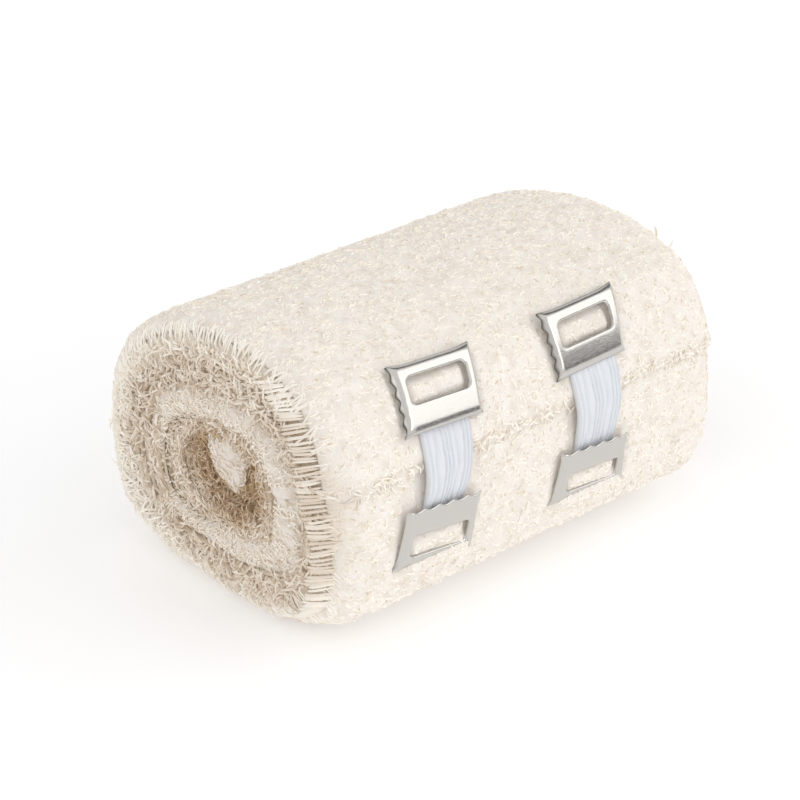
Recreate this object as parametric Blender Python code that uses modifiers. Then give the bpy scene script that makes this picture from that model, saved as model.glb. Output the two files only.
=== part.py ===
"""Crepe bandage roll held by two elastic clips with stamped metal end plates.

The roll lies along X on its flat spot, the end with the open turns at -X and the clips on the front, -Y.
The origin is in the middle of the flat spot. Sizes are named in millimetres and built in metres.
"""

from math import cos, hypot, pi, radians, sin, sqrt, tau

import bmesh
import bpy
import numpy as np
from mathutils import Vector

MM = 0.001
SHARP_EDGE = radians(35)
OBJECT_NAME = "crepe_bandage_roll"

# The wound roll
ROLL_LENGTH = 77.0        # over the rims; the domed end faces reach a little further
MEAN_RADIUS = 25.6
FLATTENING = 3.0          # wider than tall
LEAN = -0.8               # the flattened section leans a little to the back
HEAVY_BOTTOM = -0.9       # fuller below than above
SKEW = 0.2
SQUARENESS = -1.1
SQUARE_LEAN = 0.3
SINK = 1.0                # how far its own weight presses the round underside flat
NEAR_RIM = 5.2            # rounding of the rim at -X
FAR_RIM = 9.0             # rounding of the rim at +X
LAYER = 1.1               # thickness of one layer of crepe
LOOSE_END = radians(166)  # direction in which the loose end's edge faces, from +Y over the top
EDGE_HALF_WIDTH = 0.35    # half of the way round in which the surface steps down at that edge

# The end faces: the turns that show as grooves, about the wound core, which lies below and in front of the middle
MAIN_TURNS = 5
TURN_DEPTH = 1.5
CORE_Y = -3.5
CORE_Z = 18.0
CORE_SHARE = 0.26         # part of the radius that the hollow core takes
CORE_DEPTH = 5.0
FACE_DOME = 0.8
DOME_SHARE = 0.25         # part of the radius over which the dome rises
RIM_SHARE = 0.125         # part of the radius beside the rim over which the turns' grooves begin
STEP_FADES_AT = 0.8       # share of the radius inside which the loose end's step no longer shows

# How finely the roll is divided
POINTS_AROUND = 80
NEAR_FACE_RINGS = 22
FAR_FACE_RINGS = 14
BODY_RINGS = 9
RIM_RINGS = 4

# The clips: distances across run along X, distances down run round the roll from the loose end's edge
CLEARANCE = 0.3
SHEET = 0.3               # thickness of the stamped metal
PLATE_RISE = 1.5          # top of a plate above the cloth
PLATE_BEND = 0.5          # part of the roll's own curve that the plates take
BEVEL = 0.9               # width of the sloping edges
INNER_BEVEL = 1.2         # width of the slope beside the elastic
INNER_RISE = 1.25         # top of that slope's lower edge
LIP = 0.3                 # how far the window's lip is turned inwards
LIP_DROP = 0.5
BRIDGE = 7.0              # length over which a clip comes down from the loose end to the layer below
TOOTH_OUT = 0.4
TOOTH_UP = 0.45
RIBS = 9
RIB_HEIGHT = 0.14
ELASTIC_SHEET = 0.3
ELASTIC_RISE = 0.85       # mean top of the elastic above the cloth, midway
ELASTIC_END_RISE = 0.62   # the same where it goes under a plate
TUCK = 1.1                # how far it goes under
ELASTIC_STEPS = 12
STEPS_PER_RIB = 4
HALF_STEP = 0.25          # half of the way round over which the roll's slope is taken under a plate

# name, where its middle line crosses the loose end's edge, drift of that line in X per distance down,
# the upper plate's outer and inner edge and its turn in degrees, the same for the lower plate,
# the plates' widths at their outer and inner edge, and the width of the elastic
CLIP_COLUMNS = ("name", "across", "drift", "upper_outer", "upper_inner", "upper_turn",
                "lower_outer", "lower_inner", "lower_turn", "outer_width", "inner_width", "elastic_width")
CLIPS = (
    ("left", -19.8, -0.18, -14.2, -4.9, 3.0, 13.7, 5.2, 6.0, 14.2, 13.3, 8.7),
    ("right", 9.0, -0.09, -13.9, -4.6, -1.5, 14.4, 6.6, 4.0, 14.6, 13.0, 8.9),
)

# Plate outlines are walked from the outer left corner: along the outer edge, down, back along the inner edge, up
LONG_STEPS = 12
SHORT_STEPS = 8
WINDOW_WIDTH_SHARE = 0.77
WINDOW_FROM = 0.21        # window's place between the outer and the inner edge, as shares of the height
WINDOW_TO = 0.58
WINDOW_CORNER = 0.9

CREPE = ("crepe_cotton", (0.84, 0.78, 0.69), 0.95, 0.0)
STEEL = ("nickel_plated_steel", (0.62, 0.62, 0.61), 0.25, 1.0)
ELASTIC = ("white_elastic", (0.80, 0.82, 0.86), 0.70, 0.0)


def clear_scene():
    """Remove every object, so that the script can be run again."""
    for old in list(bpy.data.objects):
        bpy.data.objects.remove(old)


def material(finish):
    """A Principled material from its name, colour, roughness and metallic value."""
    name, colour, roughness, metallic = finish
    made = bpy.data.materials.new(name)
    made.use_nodes = True
    shader = made.node_tree.nodes["Principled BSDF"]
    shader.inputs["Base Color"].default_value = (*colour, 1.0)
    shader.inputs["Roughness"].default_value = roughness
    shader.inputs["Metallic"].default_value = metallic
    made.diffuse_color = (*colour, 1.0)
    return made


def outline(turn):
    """Point (y, z) of the round section whose outward normal faces this way, before it is pressed flat."""
    waves = ((2, FLATTENING, LEAN), (3, SKEW, HEAVY_BOTTOM), (4, SQUARENESS, SQUARE_LEAN))
    reach = MEAN_RADIUS + sum(a * np.cos(k * turn) + b * np.sin(k * turn) for k, a, b in waves)
    slope = sum(k * (b * np.cos(k * turn) - a * np.sin(k * turn)) for k, a, b in waves)
    return reach * np.cos(turn) - slope * np.sin(turn), reach * np.sin(turn) + slope * np.cos(turn)


# The section once round, from the loose end's edge down the front, under, up the back and over the top
TURNS = np.linspace(LOOSE_END, LOOSE_END + tau, 1441)
ROUND_Y, ROUND_Z = outline(TURNS)
FLAT_MIDDLE_Y = float(ROUND_Y[np.argmin(ROUND_Z)])
HEIGHT_OF_MIDDLE = -float(ROUND_Z.min()) - SINK
WALK = np.concatenate([[0.0], np.cumsum(np.hypot(np.diff(ROUND_Y), np.diff(ROUND_Z)))])
GIRTH = float(WALK[-1])


def section(walk, lift=0.0):
    """Point (y, z) of the roll's side this far round from the loose end's edge, flat where it rests on z = 0.

    A negative walk goes up from the edge, over the loose end. The point is raised by lift along its normal.
    """
    turn = np.interp(np.mod(walk, GIRTH), WALK, TURNS)
    y, z = outline(turn)
    return (y + lift * np.cos(turn) - FLAT_MIDDLE_Y,
            np.maximum(z + lift * np.sin(turn) + HEIGHT_OF_MIDDLE, 0.0))


def smooth(share):
    """Ease from 0 to 1."""
    share = np.clip(share, 0.0, 1.0)
    return share * share * (3.0 - 2.0 * share)


def round_walk():
    """Places round the roll, from just past the loose end's edge to just before it, one turn on."""
    return np.linspace(EDGE_HALF_WIDTH, GIRTH - EDGE_HALF_WIDTH, POINTS_AROUND)


def rim_inset(depth, rounding):
    """How far the side draws in at this depth below the end, on a round rim."""
    reach = max(0.0, 1.0 - depth / rounding)
    return rounding * (1.0 - sqrt(1.0 - reach * reach))


def drawn_in(y, z, inset):
    """Shrink the section about its middle by inset on every side, which keeps its flat underside flat."""
    half_width = 0.5 * (y.max() - y.min())
    half_height = 0.5 * (z.max() - z.min())
    middle_y = y.min() + half_width
    middle_z = z.min() + half_height
    return (middle_y + (y - middle_y) * (1.0 - inset / half_width),
            middle_z + (z - middle_z) * (1.0 - inset / half_height))


def body_rings(walk):
    """Rings of the roll's side from -X to +X, with its two rounded rims."""
    rings = []
    half = ROLL_LENGTH / 2.0
    near = [NEAR_RIM * (1.0 - cos(0.5 * pi * i / RIM_RINGS)) for i in range(RIM_RINGS)]
    far = [FAR_RIM * (1.0 - cos(0.5 * pi * i / RIM_RINGS)) for i in range(RIM_RINGS)]
    middle = list(np.linspace(-half + NEAR_RIM, half - FAR_RIM, BODY_RINGS))
    places = [(-half + d, rim_inset(d, NEAR_RIM)) for d in near]
    places += [(x, 0.0) for x in middle]
    places += [(half - d, rim_inset(d, FAR_RIM)) for d in reversed(far)]
    for x, inset in places:
        y, z = section(walk, LAYER * walk / GIRTH)
        y, z = drawn_in(y, z, inset)
        rings.append([(x, yi, zi) for yi, zi in zip(y, z)])
    return rings


def face_rings(walk, rim_x, rounding, outward, count):
    """Rings of an end face from beside its rim to its middle: a low dome, the main turns and the hollow core."""
    wound_y, wound_z = drawn_in(*section(walk, LAYER * walk / GIRTH), rounding)
    even_y, even_z = drawn_in(*section(walk, 0.5 * LAYER), rounding)
    middle_y = 0.5 * (even_y.min() + even_y.max())
    middle_z = 0.5 * (even_z.min() + even_z.max())
    rings = []
    for i in range(1, count):
        share = 1.0 - i / count
        wound = smooth((share - STEP_FADES_AT) / (1.0 - STEP_FADES_AT))
        rim_y = even_y + (wound_y - even_y) * wound
        rim_z = even_z + (wound_z - even_z) * wound
        y = CORE_Y + (middle_y - CORE_Y) * share + (rim_y - middle_y) * share
        z = CORE_Z + (middle_z - CORE_Z) * share + (rim_z - middle_z) * share
        groove = (0.5 + 0.5 * np.cos(tau * (share * MAIN_TURNS - walk / GIRTH))) ** 2
        inside_rim = smooth((1.0 - share) / RIM_SHARE)
        in_core = smooth((CORE_SHARE - share) / CORE_SHARE)
        out = FACE_DOME * smooth((1.0 - share) / DOME_SHARE) - CORE_DEPTH * in_core
        out = out - TURN_DEPTH * groove * inside_rim * (1.0 - in_core)
        rings.append([(rim_x + outward * o, yi, zi) for o, yi, zi in zip(out, y, z)])
    return rings


def add_ring(bm, points):
    """Vertices of one ring, from millimetres to metres."""
    return [bm.verts.new([c * MM for c in p]) for p in points]


def loft(bm, rings):
    """Join rings of equal length, in order, with quads."""
    for first, second in zip(rings, rings[1:]):
        for i in range(len(first)):
            j = (i + 1) % len(first)
            bm.faces.new((first[i], first[j], second[j], second[i]))


def new_object(name, bm, finish, folder):
    """Turn a bmesh into a smooth-shaded object with its material."""
    bmesh.ops.recalc_face_normals(bm, faces=bm.faces)
    mesh = bpy.data.meshes.new(name)
    bm.to_mesh(mesh)
    bm.free()
    mesh.shade_smooth()
    mesh.set_sharp_from_angle(angle=SHARP_EDGE)
    mesh.materials.append(finish)
    made = bpy.data.objects.new(name, mesh)
    folder.objects.link(made)
    return made


def make_roll(folder, finish):
    """The bandage wound on itself, as one solid."""
    walk = round_walk()
    side = body_rings(walk)
    near = face_rings(walk, -ROLL_LENGTH / 2.0, NEAR_RIM, -1.0, NEAR_FACE_RINGS)
    far = face_rings(walk, ROLL_LENGTH / 2.0, FAR_RIM, 1.0, FAR_FACE_RINGS)
    bm = bmesh.new()
    rings = [add_ring(bm, points) for points in list(reversed(near)) + side + far]
    loft(bm, rings)
    for middle in (rings[0], rings[-1]):
        centre = sum((v.co for v in middle), start=middle[0].co * 0.0) / len(middle)
        bmesh.ops.pointmerge(bm, verts=middle, merge_co=centre)
    return new_object("bandage_roll", bm, finish, folder)


def over_cloth(along, rise):
    """Point (y, z) over the cloth, which steps softly down from the loose end to the layer below it."""
    return section(along, LAYER * (1.0 - smooth(along / BRIDGE)) + rise)


def seat(clip, across, down, rise, turn=0.0, middle=None):
    """Place a clip's point: across from its middle line, down from the loose end's edge, rise above the cloth.

    A plate gives its turn and its middle: it takes only PLATE_BEND of the roll's curve about that middle.
    """
    x = clip["across"] + clip["drift"] * down + across * cos(turn)
    along = down + across * sin(turn)
    y, z = over_cloth(along, rise)
    if middle is not None:
        flat_y, flat_z = over_cloth(middle, rise)
        before_y, before_z = section(middle - HALF_STEP)
        after_y, after_z = section(middle + HALF_STEP)
        steps = (along - middle) / np.hypot(after_y - before_y, after_z - before_z)
        flat_y = flat_y + (after_y - before_y) * steps
        flat_z = flat_z + (after_z - before_z) * steps
        y = y * PLATE_BEND + flat_y * (1.0 - PLATE_BEND)
        z = z * PLATE_BEND + flat_z * (1.0 - PLATE_BEND)
    return (x, y, z)


def box_walk(top_width, bottom_width, top, bottom):
    """Points (across, down, side) round a four-sided outline, the same number on each pair of sides."""
    corners = ((-top_width / 2, top), (top_width / 2, top), (bottom_width / 2, bottom), (-bottom_width / 2, bottom))
    steps = (LONG_STEPS, SHORT_STEPS, LONG_STEPS, SHORT_STEPS)
    walk = []
    for side, count in enumerate(steps):
        (u0, v0), (u1, v1) = corners[side], corners[(side + 1) % 4]
        walk += [(u0 + (u1 - u0) * i / count, v0 + (v1 - v0) * i / count, side, i) for i in range(count)]
    return walk


def rounded(across, up, half_width, half_height, corner):
    """Pull a point of a rectangle's outline, measured from its middle, in to the same one with round corners."""
    inner_u = max(-half_width + corner, min(half_width - corner, across))
    inner_v = max(-half_height + corner, min(half_height - corner, up))
    reach = hypot(across - inner_u, up - inner_v)
    if reach <= corner:
        return across, up
    return inner_u + (across - inner_u) * corner / reach, inner_v + (up - inner_v) * corner / reach


def make_plate(clip, which, folder, finish):
    """One stamped end plate: a flat frame round a window, sloping edges and a turned lip, in thin sheet."""
    outer = clip[f"{which}_outer"]
    inner = clip[f"{which}_inner"]
    turn = radians(clip[f"{which}_turn"])
    inwards = 1.0 if inner > outer else -1.0
    middle = 0.5 * (outer + inner)
    toothed_side = 3 if which == "upper" else 2
    window_half = 0.5 * WINDOW_WIDTH_SHARE * clip["inner_width"]
    window_from = outer + WINDOW_FROM * (inner - outer)
    window_to = outer + WINDOW_TO * (inner - outer)
    window_middle = 0.5 * (window_from + window_to)
    window_half_height = 0.5 * abs(window_to - window_from)

    foot_ring = []
    for across, down, side, i in box_walk(clip["outer_width"], clip["inner_width"], outer, inner):
        by_elastic = side == 2 or (side == 3 and i == 0)
        rise = INNER_RISE if by_elastic else CLEARANCE + SHEET
        tooth = side == toothed_side and i % 2 == 0 and i > 0
        if tooth and side == 3:
            across -= TOOTH_OUT
        if tooth and side == 2:
            down += inwards * TOOTH_OUT
        if side == 3 == toothed_side and not tooth and i > 0:
            rise += TOOTH_UP
        foot_ring.append(seat(clip, across, down, rise, turn, middle))
    flat = box_walk(clip["outer_width"] - 2 * BEVEL, clip["inner_width"] - 2 * BEVEL,
                    outer + inwards * BEVEL, inner - inwards * INNER_BEVEL)
    flat_ring = [seat(clip, across, down, PLATE_RISE, turn, middle) for across, down, _, _ in flat]
    window_ring = []
    lip_ring = []
    for across, down, _, _ in box_walk(2 * window_half, 2 * window_half, window_from, window_to):
        u, v = rounded(across, down - window_middle, window_half, window_half_height, WINDOW_CORNER)
        window_ring.append(seat(clip, u, window_middle + v, PLATE_RISE, turn, middle))
        u *= 1.0 - LIP / window_half
        v *= 1.0 - LIP / window_half_height
        lip_ring.append(seat(clip, u, window_middle + v, PLATE_RISE - LIP_DROP, turn, middle))

    bm = bmesh.new()
    loft(bm, [add_ring(bm, points) for points in (foot_ring, flat_ring, window_ring, lip_ring)])
    plate = new_object(f"clip_{clip['name']}_{which}_plate", bm, finish, folder)
    return thicken(plate, SHEET)


def thicken(sheet, thickness):
    """Turn an open sheet's faces away from the roll's middle and give it its thickness inwards."""
    mesh = sheet.data
    outward = 0.0
    for face in mesh.polygons:
        away = Vector((0.0, face.center.y, face.center.z - HEIGHT_OF_MIDDLE * MM))
        outward += face.normal.dot(away.normalized()) * face.area
    if outward < 0.0:
        mesh.flip_normals()
    wall = sheet.modifiers.new("thickness", "SOLIDIFY")
    wall.thickness = thickness * MM
    wall.offset = -1.0
    return sheet


def make_elastic(clip, folder, finish):
    """The ribbed elastic strip, its two ends tucked under the plates."""
    top = clip["upper_inner"] - TUCK
    bottom = clip["lower_inner"] + TUCK
    bm = bmesh.new()
    bmesh.ops.create_grid(bm, x_segments=RIBS * STEPS_PER_RIB, y_segments=ELASTIC_STEPS, size=0.5)
    for vert in bm.verts:
        share = vert.co.y + 0.5
        end = smooth(min(share, 1.0 - share) * (bottom - top) / (2.0 * TUCK))
        rise = ELASTIC_END_RISE + (ELASTIC_RISE - ELASTIC_END_RISE) * end
        rib = -0.5 * RIB_HEIGHT * cos(tau * RIBS * (vert.co.x + 0.5))
        place = seat(clip, vert.co.x * clip["elastic_width"], top + share * (bottom - top), rise + rib)
        vert.co = [c * MM for c in place]
    strip = new_object(f"clip_{clip['name']}_elastic", bm, finish, folder)
    return thicken(strip, ELASTIC_SHEET)


def main():
    """Build every piece of the roll and its clips."""
    clear_scene()
    folder = bpy.data.collections.new(OBJECT_NAME)
    bpy.context.scene.collection.children.link(folder)
    crepe = material(CREPE)
    steel = material(STEEL)
    elastic = material(ELASTIC)
    make_roll(folder, crepe)
    for row in CLIPS:
        clip = dict(zip(CLIP_COLUMNS, row))
        make_plate(clip, "upper", folder, steel)
        make_plate(clip, "lower", folder, steel)
        make_elastic(clip, folder, elastic)


main()
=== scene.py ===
"""Looks of the crepe bandage roll: the wound cloth with its frayed edges, and its two elastic clips.

Sizes are in millimetres until a mesh is made. Walk is the distance round the roll from the loose end's edge,
down the front, under, up the back and over the top. Wound is the number of turns from the loose end inwards.
"""

import logging
from collections.abc import Callable
from dataclasses import dataclass, field
from enum import Enum
from math import cos, pi, radians, sin, tau

import bmesh
import bpy
import numpy as np
from mathutils import Matrix, Vector


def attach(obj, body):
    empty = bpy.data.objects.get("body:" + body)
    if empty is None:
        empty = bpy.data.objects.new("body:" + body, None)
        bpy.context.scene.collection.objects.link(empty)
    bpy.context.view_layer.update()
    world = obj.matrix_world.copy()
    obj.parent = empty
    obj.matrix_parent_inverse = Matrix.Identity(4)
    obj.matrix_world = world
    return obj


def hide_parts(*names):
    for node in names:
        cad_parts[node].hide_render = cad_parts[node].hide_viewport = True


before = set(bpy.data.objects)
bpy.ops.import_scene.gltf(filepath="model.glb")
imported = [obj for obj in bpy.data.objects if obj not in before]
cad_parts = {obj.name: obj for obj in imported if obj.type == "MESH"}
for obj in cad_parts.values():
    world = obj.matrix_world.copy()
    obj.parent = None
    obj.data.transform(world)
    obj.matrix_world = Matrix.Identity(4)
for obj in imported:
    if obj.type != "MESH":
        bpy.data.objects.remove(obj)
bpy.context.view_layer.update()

MM = 0.001
LOG = logging.getLogger("bandage")
Array = np.ndarray

# Stretches of the way round the roll: the walk at the middle, and how far it reaches to either side

FRONT = (8.0, 40.0)
LOW_FRONT = (20.0, 62.0)
BACK = (78.0, 42.0)
TOP = (130.0, 42.0)


class End(Enum):
    """An end of the roll, with the direction in which it faces along X."""

    NEAR = -1.0
    FAR = 1.0


class Level(Enum):
    """One of a clip's two plates, with its word in the pieces' names."""

    UPPER = "upper"
    LOWER = "lower"


# Helpers for numbers


def ease(share: Array | float) -> Array:
    """Ease from 0 to 1."""
    share = np.clip(share, 0.0, 1.0)
    return share * share * (3.0 - 2.0 * share)


def bump_of(place: Array | float, middle: float, width: float) -> Array:
    """A smooth hill of height 1 about a middle, falling to 0 at the given width on either side."""
    return ease(1.0 - np.abs((place - middle) / width))


def grain(places: tuple[Array, ...], size: float, seed: int) -> Array:
    """Smooth lattice noise from -1 to 1.

    Args:
        places: One array for each coordinate, in millimetres.
        size: Width of one lattice cell, in millimetres.
        seed: Picks the lattice's values.

    Returns:
        The noise at each place.
    """
    values = np.random.default_rng(seed).uniform(-1.0, 1.0, 65536)
    primes = (73856093, 19349663, 83492791)
    cells = [np.floor(p / size).astype(np.int64) for p in places]
    parts = [ease(p / size - c) for p, c in zip(places, cells)]
    total = np.zeros(np.broadcast(*places).shape)
    for corner in range(2 ** len(places)):
        weight = 1.0
        key = 0
        for axis, (cell, part) in enumerate(zip(cells, parts)):
            step = (corner >> axis) & 1
            weight = weight * (part if step else 1.0 - part)
            key = key ^ ((cell + step) * primes[axis])
        total = total + weight * values[key & 65535]
    return total


def along_yarns(steps: int, place: Callable[[float], Array]) -> Array:
    """Points of many yarns at even steps of their length.

    Args:
        steps: Number of points along each yarn.
        place: Gives one point of each yarn at a way from 0 to 1 along it.

    Returns:
        An array of yarns, points and x, y, z.
    """
    return np.stack([place(step / (steps - 1)) for step in range(steps)], axis=1)


# Helpers for nodes


def linear(code: str) -> tuple[float, float, float, float]:
    """A linear colour from an sRGB hex code such as EDE6DA."""
    levels = [int(code[i:i + 2], 16) / 255.0 for i in (0, 2, 4)]
    return tuple(v / 12.92 if v <= 0.04045 else ((v + 0.055) / 1.055) ** 2.4 for v in levels) + (1.0,)


def wire(tree: bpy.types.NodeTree, node: bpy.types.Node, settings: dict | None = None,
         **links: bpy.types.NodeSocket) -> bpy.types.Node:
    """Set a node's values and link its inputs.

    Args:
        tree: The node tree.
        node: The node.
        settings: Attributes and socket values by name, or by number for a socket whose name repeats.
        links: Output sockets by the name of the input that they feed, with _ for a space, or i and a number.

    Returns:
        The same node.
    """
    for name, value in (settings or {}).items():
        if isinstance(name, str) and hasattr(node, name):
            setattr(node, name, value)
        else:
            node.inputs[name].default_value = value
    for name, socket in links.items():
        key = int(name[1:]) if name[0] == "i" and name[1:].isdigit() else name.replace("_", " ")
        tree.links.new(socket, node.inputs[key])
    return node


def add(tree: bpy.types.NodeTree, kind: str, settings: dict | None = None,
        **links: bpy.types.NodeSocket) -> bpy.types.Node:
    """Add a node, by its type's name after ShaderNode, with settings and links as wire takes them."""
    return wire(tree, tree.nodes.new("ShaderNode" + kind), settings, **links)


def new_material(name: str) -> tuple[bpy.types.Material, bpy.types.NodeTree, bpy.types.Node]:
    """Make a material whose Principled shader is wired to its output.

    Args:
        name: Name of the material.

    Returns:
        The material, its node tree and its shader.
    """
    made = bpy.data.materials.new(name)
    made.use_nodes = True
    return made, made.node_tree, made.node_tree.nodes["Principled BSDF"]


# The form of the roll


@dataclass
class WoundForm:
    """The roll's wound form, with the sizes of its solid."""

    length: float = 77.0
    mean_radius: float = 25.6
    # Waves that the round section has once round, and the height of each in cosine and sine
    waves: tuple[tuple[int, float, float], ...] = ((2, 3.0, -0.8), (3, 0.2, -0.9), (4, -1.1, 0.3))
    sink: float = 1.0
    near_rim: float = 5.2
    far_rim: float = 9.0
    layer: float = 1.1
    loose_end: float = radians(166)
    core_shift_y: float = -3.6
    core_shift_z: float = 0.5
    shifted_by: float = 0.34
    section_points: int = 1441

    def __post_init__(self) -> None:
        """Work out the section once round, from the loose end's edge."""
        self.turns = np.linspace(self.loose_end, self.loose_end + tau, self.section_points)
        y, z = self.outline(self.turns)
        self.shift_y = float(y[np.argmin(z)])
        self.rise_z = -float(z.min()) - self.sink
        self.walks = np.concatenate([[0.0], np.cumsum(np.hypot(np.diff(y), np.diff(z)))])
        self.girth = float(self.walks[-1])
        y, z = self.side(self.walks[:-1])
        self.half_width = 0.5 * float(y.max() - y.min())
        self.half_height = 0.5 * float(z.max() - z.min())
        self.middle_y = float(y.min()) + self.half_width
        self.middle_z = float(z.min()) + self.half_height

    def outline(self, turn: Array) -> tuple[Array, Array]:
        """The round section before it is pressed flat.

        Args:
            turn: Direction of the outward normal, as an angle from +Y towards +Z.

        Returns:
            The y and z of the point whose normal faces this way.
        """
        reach = self.mean_radius + sum(a * np.cos(k * turn) + b * np.sin(k * turn) for k, a, b in self.waves)
        slope = sum(k * (b * np.cos(k * turn) - a * np.sin(k * turn)) for k, a, b in self.waves)
        return reach * np.cos(turn) - slope * np.sin(turn), reach * np.sin(turn) + slope * np.cos(turn)

    def facing(self, walk: Array) -> Array:
        """Direction that the roll's side faces at this walk, as an angle from +Y towards +Z."""
        return np.interp(np.mod(walk, self.girth), self.walks, self.turns)

    def nearness(self, walk: Array, stretch: tuple[float, float]) -> Array:
        """How near a walk is to a stretch's middle, from 0 to 1, across the loose end's edge too."""
        return np.maximum(bump_of(walk, *stretch), bump_of(walk - self.girth, *stretch))

    def side(self, walk: Array, lift: Array | float = 0.0) -> tuple[Array, Array]:
        """The roll's side, flat where it stands on z = 0.

        Args:
            walk: Distance round the roll.
            lift: How far the point is raised along the side's normal.

        Returns:
            The y and z of the point.
        """
        turn = self.facing(walk)
        y, z = self.outline(turn)
        return (y + lift * np.cos(turn) - self.shift_y,
                np.maximum(z + lift * np.sin(turn) + self.rise_z, 0.0))

    def rim_inset(self, x: Array) -> Array:
        """How far the side draws in on the two rounded rims.

        Args:
            x: Place along the roll.

        Returns:
            The distance by which the half width and the half height are less.
        """
        total = 0.0
        for end, rounding in ((End.NEAR, self.near_rim), (End.FAR, self.far_rim)):
            depth = self.length / 2.0 - end.value * x
            reach = np.clip(1.0 - depth / rounding, 0.0, 1.0)
            total = total + rounding * (1.0 - np.sqrt(1.0 - reach * reach))
        return total

    def walk_of(self, wound: Array) -> Array:
        """Distance round the roll of this wound place."""
        return self.girth * (1.0 - np.mod(wound, 1.0))

    def outer_wound(self, walk: Array) -> Array:
        """Wound place on the outer turn at this walk."""
        return 1.0 - walk / self.girth

    def share(self, wound: Array, sunk: Array | float = 0.0) -> Array:
        """Share of the full section that the cloth's outer face has at this wound place, sunk by a depth."""
        return 1.0 + (self.layer * (1.0 - wound) - sunk) / self.mean_radius

    def wound_of(self, share: Array | float) -> Array:
        """Turns from the loose end in to this share of the section, with the part of a turn kept."""
        return 1.0 + (1.0 - share) * self.mean_radius / self.layer

    def middle(self, share: Array) -> tuple[Array, Array]:
        """Middle (y, z) of the turn at this share: the turns lie closer together at the front and below."""
        moved = np.clip((1.0 - share) / self.shifted_by, 0.0, 1.0)
        return self.middle_y + self.core_shift_y * moved, self.middle_z + self.core_shift_z * moved

    def at(self, walk: Array, share: Array, x: Array) -> Array:
        """Points of the wound form.

        Args:
            walk: Distance round the roll.
            share: Share of the full section.
            x: Place along the roll.

        Returns:
            An array of points, the last axis holding x, y and z.
        """
        side_y, side_z = self.side(walk)
        middle_y, middle_z = self.middle(share)
        y = middle_y + (side_y - self.middle_y) * share
        z = middle_z + (side_z - self.middle_z) * share
        inset = self.rim_inset(x)
        y = self.middle_y + (y - self.middle_y) * (1.0 - inset / self.half_width)
        z = self.middle_z + (z - self.middle_z) * (1.0 - inset / self.half_height)
        return np.stack(np.broadcast_arrays(x, y, np.maximum(z, 0.0)), axis=-1)

    def place(self, wound: Array, x: Array, sunk: Array | float) -> Array:
        """Points of the wound cloth.

        Args:
            wound: Turns from the loose end inwards.
            x: Place along the roll.
            sunk: Depth below the cloth's outer face.

        Returns:
            An array of points, the last axis holding x, y and z.
        """
        return self.at(self.walk_of(wound), self.share(wound, sunk), x)


FORM = WoundForm()


# The clips' plan, which the cloth reads too, because it is pressed in under them


@dataclass(frozen=True)
class PlatePlan:
    """Where one plate lies.

    Its outer and inner edge are distances down, its turn is in degrees, and its lean is how far its inner
    edge is raised over its middle.
    """

    level: Level
    outer: float
    inner: float
    turn: float
    lean: float

    @property
    def middle(self) -> float:
        """Distance down of the plate's middle."""
        return 0.5 * (self.outer + self.inner)


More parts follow.
